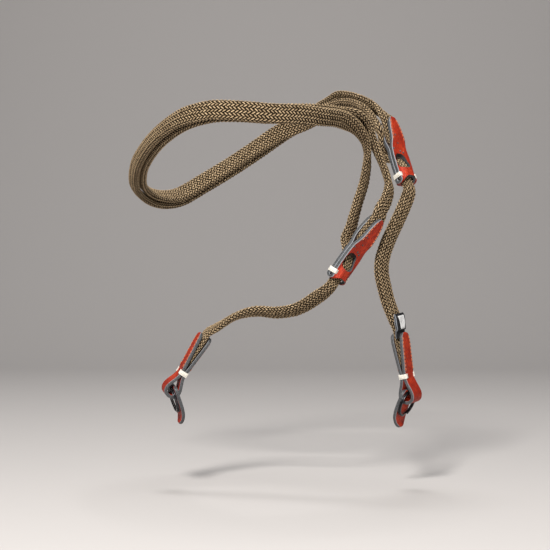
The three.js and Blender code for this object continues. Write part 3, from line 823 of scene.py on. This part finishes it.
def both_faces(surface, half):
    """The faces of a sheet that are half a thickness off its middle surface."""
    step = 0.02

    def faces(p, x):
        run_p = surface(p + step, x) - surface(p - step, x)
        run_x = surface(p, x + step) - surface(p, x - step)
        normal = unit(np.cross(run_x, run_p)) * half
        middle = surface(p, x)
        return middle + normal, middle - normal

    return faces


def bent(path_yz, count):
    """A middle surface for a strip bent along a (y, z) path, and the path's places and heights."""
    line, _, s = even_curve([(0, y, z) for y, z in path_yz], BENT_POINTS)
    first, last = unit(line[1] - line[0]), unit(line[-1] - line[-2])

    def surface(p, x):
        y, z = np.interp(p, s, line[:, 1]), np.interp(p, s, line[:, 2])
        before, after = np.minimum(p, 0), np.maximum(p - s[-1], 0)
        y = y + before * first[1] + after * last[1]
        z = z + before * first[2] + after * last[2]
        return np.stack([x, y, z], axis=-1)

    path = np.linspace(0, s[-1], count)
    return surface, path, np.interp(path, s, line[:, 2])


def tab_strip(grow=0.0):
    surface, path, heights = bent(TAB_PATH, TAB_STATIONS)
    # Painted shade on the inner faces of the legs; the loop's inner face stays red
    inside = np.where(heights > TAB_PAINTED_SHADE_FROM, 2, 0)
    return strip(both_faces(surface, LEATHER / 2 + grow), path, along(TAB_PROFILE, heights), grow,
                 inside=inside)


def evaluated(obj):
    """Applies an object's modifiers."""
    graph = bpy.context.evaluated_depsgraph_get()
    made = bpy.data.meshes.new_from_object(obj.evaluated_get(graph))
    obj.modifiers.clear()
    obj.data = made


def cutter(points, faces):
    mesh = bpy.data.meshes.new("cutter")
    mesh.from_pydata((np.asarray(points) * METRES).tolist(), [], [list(f) for f in faces])
    for material in (RED, EDGE, INSIDE_PAINTED_SHADE):
        mesh.materials.append(material)
    mesh.polygons.foreach_set("material_index", np.ones(len(mesh.polygons), np.int32))
    obj = bpy.data.objects.new("cutter", mesh)
    bpy.context.scene.collection.objects.link(obj)
    outward(obj)
    return obj


def cut(obj, tools):
    """Takes the cutters out of a piece and removes them."""
    for tool in tools:
        made = obj.modifiers.new("cut", "BOOLEAN")
        made.operation, made.solver, made.object = "DIFFERENCE", "EXACT", tool
    evaluated(obj)
    for tool in tools:
        mesh = tool.data
        bpy.data.objects.remove(tool)
        bpy.data.meshes.remove(mesh)


def leather_piece(name, made, place, nodes):
    points, faces, index, run = made
    obj = piece(name, place.world(points), faces, [RED, EDGE, INSIDE_PAINTED_SHADE], index, run, nodes=nodes)
    outward(obj)
    return obj


# Thread
def wrap_turns(half, edge, inset, centre, side, turns, radius):
    """Turns of thread round one edge of the leather, lying side by side."""
    inner, outer = edge - inset - radius, edge + WRAP_CLEAR + radius
    y = half + WRAP_CLEAR + radius
    corner = 1.5 * radius
    made = []
    for k in range(turns):
        z = centre + (k - (turns - 1) / 2) * WRAP_HEIGHT / turns
        path = []
        corners = [(outer, y, 0), (inner, y, 90), (inner, -y, 180), (outer, -y, 270)]
        for cx, cy, start in corners:
            mx = cx - math.copysign(corner, cx - (inner + outer) / 2)
            my = cy - math.copysign(corner, cy)
            for a in (0, 30, 60, 90):
                phi = math.radians(start + a)
                path.append((side * (mx + corner * math.cos(phi)), my + corner * math.sin(phi),
                             z + WRAP_WAVE * math.sin(phi + k)))
        made.append(tube(path, radius, WRAP_SIDES, (0, 0, 1), closed=True))
    return join(made)


def near_or_far(place, side):
    return "near" if side * place.axes[0][1] < 0 else "far"


def thread_wraps(name, place, half, edge, centre):
    for side in (-1, 1):
        label = near_or_far(place, side)
        turns, radius = WRAP_TURNS[label]
        points, faces = wrap_turns(half, edge, WRAP_INSET[label], centre, side, turns, radius)
        obj = piece(f"{name}_{label}_turns", place.world(points), faces, [THREAD],
                    nodes=[f"{name}_{label}"])
        outward(obj)


def dot(at, radius, side):
    """A small round plug, sunk in a face that looks along y; its near-black colour is the painted shade
    inside a needle hole.
    """
    turn = np.linspace(0, 2 * math.pi, PIT_SIDES, endpoint=False)
    proud = np.full(PIT_SIDES, side * PIT_PROUD)
    rim = np.stack([radius * np.cos(turn), proud, radius * np.sin(turn)], axis=1) + at
    floor = rim - (0, side * PIT_DEPTH, 0)
    caps = [tuple(range(PIT_SIDES)), tuple(range(PIT_SIDES, 2 * PIT_SIDES))[::-1]]
    faces = ring_faces(2, PIT_SIDES) + caps
    return np.vstack([rim, floor]), faces


def seam(name, place, reach, profile, face, side):
    """A fine row of stitches inside both edges of a leather face, with a plug painted near-black as the shade
    of each needle hole.
    """
    thread, holes = [], []
    count = round((reach[1] - reach[0]) / SEAM_STITCH)
    ends = np.linspace(reach[0], reach[1], count + 1)
    for edge in (-1, 1):
        for low, high in zip(ends[:-1], ends[1:]):
            z = np.linspace(low + SEAM_REST, high - SEAM_REST, 7)
            x = edge * (along(profile, z) - SEAM_INSET)
            t = np.linspace(-1, 1, 7)
            y = side * (face(x, z) + SEAM_THREAD * (0.5 - 2.2 * t**4))
            thread.append(tube(np.stack([x, y, z], axis=1), SEAM_THREAD, SEAM_SIDES, (1, 0, 0)))
        for z in ends:
            x = edge * (along(profile, z) - SEAM_INSET)
            holes.append(dot(np.array([x, side * float(face(np.array(x), np.array(z))), z]), SEAM_HOLE, side))
    for label, made, material in (("thread", thread, STITCH), ("pits", holes, HOLE_PAINTED_SHADE)):
        points, faces = join(made)
        obj = piece(f"{name}_{label}", place.world(points), faces, [material])
        outward(obj)


def needle_holes(name, place, rows, face):
    """Larger needle holes, each a plug painted near-black as the shade inside the hole: rows of x, z and
    radius on the front face.
    """
    made = [dot(np.array([x, float(face(np.array(x), np.array(z))), z]), r, 1) for x, z, r in rows]
    points, faces = join(made)
    obj = piece(name, place.world(points), faces, [HOLE_PAINTED_SHADE])
    outward(obj)


# End tabs
TAB_LINE = even_curve([(0, y, z) for y, z in TAB_PATH], BENT_POINTS)[0][:TAB_LEG_POINTS, 1:]


def tab_face(x, z):
    """How far out the outer face of a tab's outer leg is."""
    return np.interp(z, TAB_LINE[::-1, 1], TAB_LINE[::-1, 0]) + LEATHER / 2 + TAB_FACE_LIFT


def end_tab(side, fitting):
    place = fitting_place(fitting)
    leather_piece(f"tab_{side}_leather", tab_strip(), place, [f"end_tab_{side}"])
    thread_wraps(f"tab_wrap_{side}", place, TAB_WRAP_HALF, TAB_WRAP_EDGE, 0)
    seam(f"tab_{side}_outer", place, TAB_SEAM, TAB_PROFILE, tab_face, 1)
    seam(f"tab_{side}_inner", place, TAB_SEAM, TAB_PROFILE, tab_face, -1)
    needle_holes(f"tab_{side}_holes", place, TAB_HOLES, tab_face)


# Sliders
def slider_half(x, z):
    up = 1 - smoothstep(z, DOME_FROM, DOME_TO)
    flat = 1 - smoothstep(np.abs(x), DOME_FLAT, DOME_FOOT)
    lower = SLIDER_LEATHER + (DOME_HALF - SLIDER_LEATHER) * up * flat
    legs = sum(along(SLIDER_LEGS, z + reach) for reach in LEG_BLUR) / len(LEG_BLUR)
    return np.maximum(lower, legs)


def slider_faces(p, x):
    """Outer and inner face of the folded strip: down the front, round the fold, up the back."""
    turn = np.clip((p - FLAT_RUN) / FOLD_RUN, 0, 1) * math.pi
    height = np.maximum(np.maximum(SLIDER_LENGTH - p, p - FLAT_RUN - FOLD_RUN + FOLD), FOLD)
    gap = SHEET_GAP + EAR_GAP * np.exp(-(((height - EAR_AT) / EAR_REACH) ** 2))
    out = slider_half(x, height) + gap
    inside = out - SLIDER_LEATHER
    outer = np.stack([x, out * np.cos(turn), height - FOLD * np.sin(turn)], axis=-1)
    inner = np.stack([x, inside * np.cos(turn), height - FOLD_INSIDE * np.sin(turn)], axis=-1)
    return outer, inner


def slider_face(x, z):
    """How far out the outer face of a slider is."""
    return slider_half(x, z) + SHEET_GAP + SLIDER_FACE_LIFT


def front_cutter(place, low, high, half, corner, side):
    """A rounded opening through the front layer of a slider."""
    outline = []
    for cx, cz, start in ((half, high, 0), (-half, high, 90), (-half, low, 180), (half, low, 270)):
        mx = cx - math.copysign(corner, cx)
        mz = cz - math.copysign(corner, cz - (low + high) / 2)
        for a in range(0, 91, 10):
            phi = math.radians(start + a)
            outline.append((side + mx + corner * math.cos(phi), mz + corner * math.sin(phi)))
    points = [(x, y, z) for y in (CUT_FROM, CUT_TO) for x, z in outline]
    count = len(outline)
    faces = ring_faces(2, count) + [tuple(range(count)), tuple(range(count, 2 * count))[::-1]]
    return cutter(place.world(points), faces)


def slider(side, fitting, through):
    place = fitting_place(fitting)
    path = np.concatenate([
        np.linspace(0, FLAT_RUN, 90)[:-1],
        np.linspace(FLAT_RUN, FLAT_RUN + FOLD_RUN, 12)[:-1],
        np.linspace(FLAT_RUN + FOLD_RUN, 2 * FLAT_RUN + FOLD_RUN, 90),
    ])
    heights = slider_faces(path, np.zeros_like(path))[0][:, 2]
    # The slider's whole inner face gets the painted shade
    made = strip(slider_faces, path, along(SLIDER_PROFILE, heights), columns=26, thickness=SLIDER_LEATHER,
                 inside=2)
    body = leather_piece(f"slider_{side}_leather", made, place, [f"slider_{side}"])
    middle = place.world((0, 0, 12))
    near = through.s[np.argmin(np.linalg.norm(through.at - middle, axis=1))]
    room = cutter(*rope_tube(through, near, **ROPE_ROOM))
    cut(body, [front_cutter(place, **WINDOW), front_cutter(place, **NOTCH), room])
    wrap_half = float(slider_half(np.array(SLIDER_WRAP_EDGE - WRAP_INSET["near"]), np.array(SLIDER_WRAP_AT)))
    thread_wraps(f"slider_wrap_{side}", place, wrap_half, SLIDER_WRAP_EDGE, SLIDER_WRAP_AT)
    seam(f"slider_{side}_front", place, SLIDER_SEAM, SLIDER_PROFILE, slider_face, 1)
    seam(f"slider_{side}_back", place, SLIDER_SEAM, SLIDER_PROFILE, slider_face, -1)
    needle_holes(f"slider_{side}_holes", place, SLIDER_HOLES, slider_face)


# Rings and guards
def split_ring(side, ring):
    place = ring_place(ring)
    middle, level = (RING_OUTER + RING_INNER) / 2, (RING_TURN + RING_SLIT) / 2
    phi = np.linspace(RING_END_GAP, 4 * math.pi - RING_END_GAP, RING_STATIONS)
    y = level * (2 * smoothstep(phi, 2 * math.pi - RING_JOG, 2 * math.pi + RING_JOG) - 1)
    hr, hy, r = (RING_OUTER - RING_INNER) / 2, RING_TURN / 2, RING_CORNER
    section = []
    for sx, sy, start in ((1, 1, 0), (-1, 1, 90), (-1, -1, 180), (1, -1, 270)):
        for a in (0, 45, 90):
            b = math.radians(start + a)
            section.append((sx * (hr - r) + r * math.cos(b), sy * (hy - r) + r * math.sin(b)))
    points = []
    for a, level_y in zip(phi, y):
        for radial, axial in section:
            rr = middle + radial
            points.append((rr * math.sin(a), level_y + axial, -rr * math.cos(a)))
    obj = piece(f"ring_{side}_turns", place.world(points), capped_faces(len(phi), len(section)), [STEEL],
                nodes=[f"split_ring_{side}"])
    outward(obj)


def ring_guard(side, ring):
    surface, path, heights = bent(GUARD_PATH, GUARD_STATIONS)
    made = strip(both_faces(surface, LEATHER / 2), path, along(GUARD_PROFILE, heights), columns=16)
    guard = leather_piece(f"guard_{side}_leather", made, ring_place(ring), [f"ring_guard_{side}"])
    points, faces, _, _ = tab_strip(GUARD_ROOM)
    cut(guard, [cutter(fitting_place(ring["tab"]).world(points), faces)])


# Label
def ribbon_surface():
    line, path, heights = bent(LABEL_PATH, LABEL_STATIONS)

    def surface(p, x):
        at = line(p, x)
        wave = 0.35 * np.sin(at[..., 2] * 0.75) + 0.03 * (at[..., 2] - 34)
        at[..., 0] += LABEL_MIDDLE + wave
        at[..., 1] += 0.16 * np.sin(x * 0.7 + at[..., 2] * 0.5)
        return at

    return surface, path


def label():
    place = fitting_place(RIGHT_TAB)
    surface, path = ribbon_surface()
    sheet = both_faces(surface, RIBBON / 2)
    points, faces, index, run = strip(sheet, path, np.full(len(path), LABEL_HALF),
                                      radius=LABEL_CORNER, thickness=RIBBON, columns=LABEL_COLUMNS)
    # A pale grey line along one column near the border of the ribbon's face, in the edge's material
    pale_line_index = np.array(index[:-2]).reshape(len(path) - 1, -1)
    pale_line_index[:, PALE_COLUMN] = 1
    index[:-2] = pale_line_index.ravel().tolist()
    ribbon = piece("label_ribbon_folded", place.world(points), faces, [LABEL_BLACK, LABEL_EDGE], index,
                   run, nodes=["label_ribbon"])
    outward(ribbon)
    label_patch(place, surface, path[-1])


def label_patch(place, surface, front):
    """The blank patch on the ribbon's front face."""
    nx, nz = PATCH_COLUMNS, PATCH_ROWS
    places = np.linspace(0, front, 600)
    tall = surface(places, np.zeros_like(places))[:, 2]
    top = places[np.argmax(tall)]
    late = places > top
    points, run = [], []
    zs = np.linspace(PATCH_NEAR[0][0], PATCH_NEAR[1][0], nz)
    for level in (0, 1):
        for z in zs:
            p = np.interp(-z, -tall[late], places[late])
            for u in np.linspace(0, 1, nx):
                x = along(PATCH_NEAR, z) * (1 - u) + along(PATCH_FAR, z) * u
                at = surface(np.array(p), np.array(x - LABEL_MIDDLE))
                rim = min(1.0, 6 * min(u, 1 - u) + 0.4, 1.2 * min(z - zs[0], zs[-1] - z) + 0.4)
                y = at[1] + RIBBON / 2 + 0.05 + level * PATCH_THICKNESS * rim
                points.append((x, y, z))
                run.append((x, z))
    faces = []
    for level in (0, 1):
        for j in range(nz - 1):
            for i in range(nx - 1):
                a = level * nx * nz + j * nx + i
                faces.append((a, a + 1, a + nx + 1, a + nx))
    rim = list(range(nx)) + [j * nx + nx - 1 for j in range(1, nz)]
    rim += [(nz - 1) * nx + i for i in range(nx - 2, -1, -1)] + [j * nx for j in range(nz - 2, 0, -1)]
    for k, a in enumerate(rim):
        b = rim[(k + 1) % len(rim)]
        faces.append((a, b, b + nx * nz, a + nx * nz))
    patch = piece("label_patch_blank", place.world(points), faces, [LABEL_WHITE], uv=run,
                  nodes=["label_patch"])
    outward(patch)


# Stage, light and camera
def sweep(name, floor, color):
    """A floor that turns up into a wall far behind the strap, in one smooth sheet."""
    wide, near, foot, bend, top = 9.0, -9.0, 1.3, 1.0, 3.2
    turn = np.linspace(0, math.pi / 2, 24)
    line = [(near, floor), (0.0, floor)]
    line += [(foot + bend * math.sin(a), floor + bend * (1 - math.cos(a))) for a in turn]
    line.append((foot + bend, top))
    points = [(x, y, z) for y, z in line for x in (-wide, wide)]
    faces = [(2 * k, 2 * k + 1, 2 * k + 3, 2 * k + 2) for k in range(len(line) - 1)]
    mesh = bpy.data.meshes.new(name)
    mesh.from_pydata(points, [], faces)
    mesh.polygons.foreach_set("use_smooth", np.ones(len(mesh.polygons), bool))
    mesh.materials.append(Graph(name, color, 0.9).material)
    obj = bpy.data.objects.new(name, mesh)
    bpy.context.scene.collection.objects.link(obj)


def area_light(name, at, aim, size, power, color=(1, 1, 1)):
    data = bpy.data.lights.new(name, "AREA")
    data.shape, data.size, data.energy, data.color = "SQUARE", size, power, color
    obj = bpy.data.objects.new(name, data)
    obj.location = at
    obj.rotation_euler = (Vector(aim) - Vector(at)).to_track_quat("-Z", "Y").to_euler()
    bpy.context.scene.collection.objects.link(obj)


def stage():
    sweep("sweep", FLOOR, (0.5, 0.475, 0.46))
    aim = (0, 0, 0.1)
    area_light("key", (-0.3, -1.25, 1.0), aim, 0.3, 40, (1, 0.98, 0.95))
    area_light("fill", (1.0, -1.2, 0.4), aim, 0.6, 5)
    area_light("top", (-0.1, 0.3, 1.4), aim, 0.4, 8)
    area_light("wall_light", (0, 1.2, 1.6), (0, 2.2, 0.4), 1.2, 5)
    bpy.context.scene.view_settings.view_transform = "Standard"
    world = bpy.data.worlds.new("studio")
    world.use_nodes = True
    world.node_tree.nodes["Background"].inputs["Color"].default_value = (0.9, 0.93, 1, 1)
    world.node_tree.nodes["Background"].inputs["Strength"].default_value = 0.13
    bpy.context.scene.world = world


def camera():
    data = bpy.data.cameras.new("camera")
    data.sensor_width = SENSOR_WIDTH
    data.lens = FOCAL_PIXELS / FRAME_PIXELS * SENSOR_WIDTH
    data.clip_start, data.clip_end = 0.05, 20
    obj = bpy.data.objects.new("camera", data)
    obj.location = CAMERA_AT
    obj.rotation_euler = (math.radians(90), 0, 0)
    bpy.context.scene.collection.objects.link(obj)
    bpy.context.scene.camera = obj


camera()
stage()
left = rope("left", LEFT_ROUTE)
right = rope("right", RIGHT_ROUTE)
end_tab("left", LEFT_TAB)
end_tab("right", RIGHT_TAB)
slider("left", LEFT_SLIDER, left)
slider("right", RIGHT_SLIDER, right)
split_ring("left", LEFT_RING)
split_ring("right", RIGHT_RING)
ring_guard("left", LEFT_RING)
ring_guard("right", RIGHT_RING)
label()

bpy.context.view_layer.update()
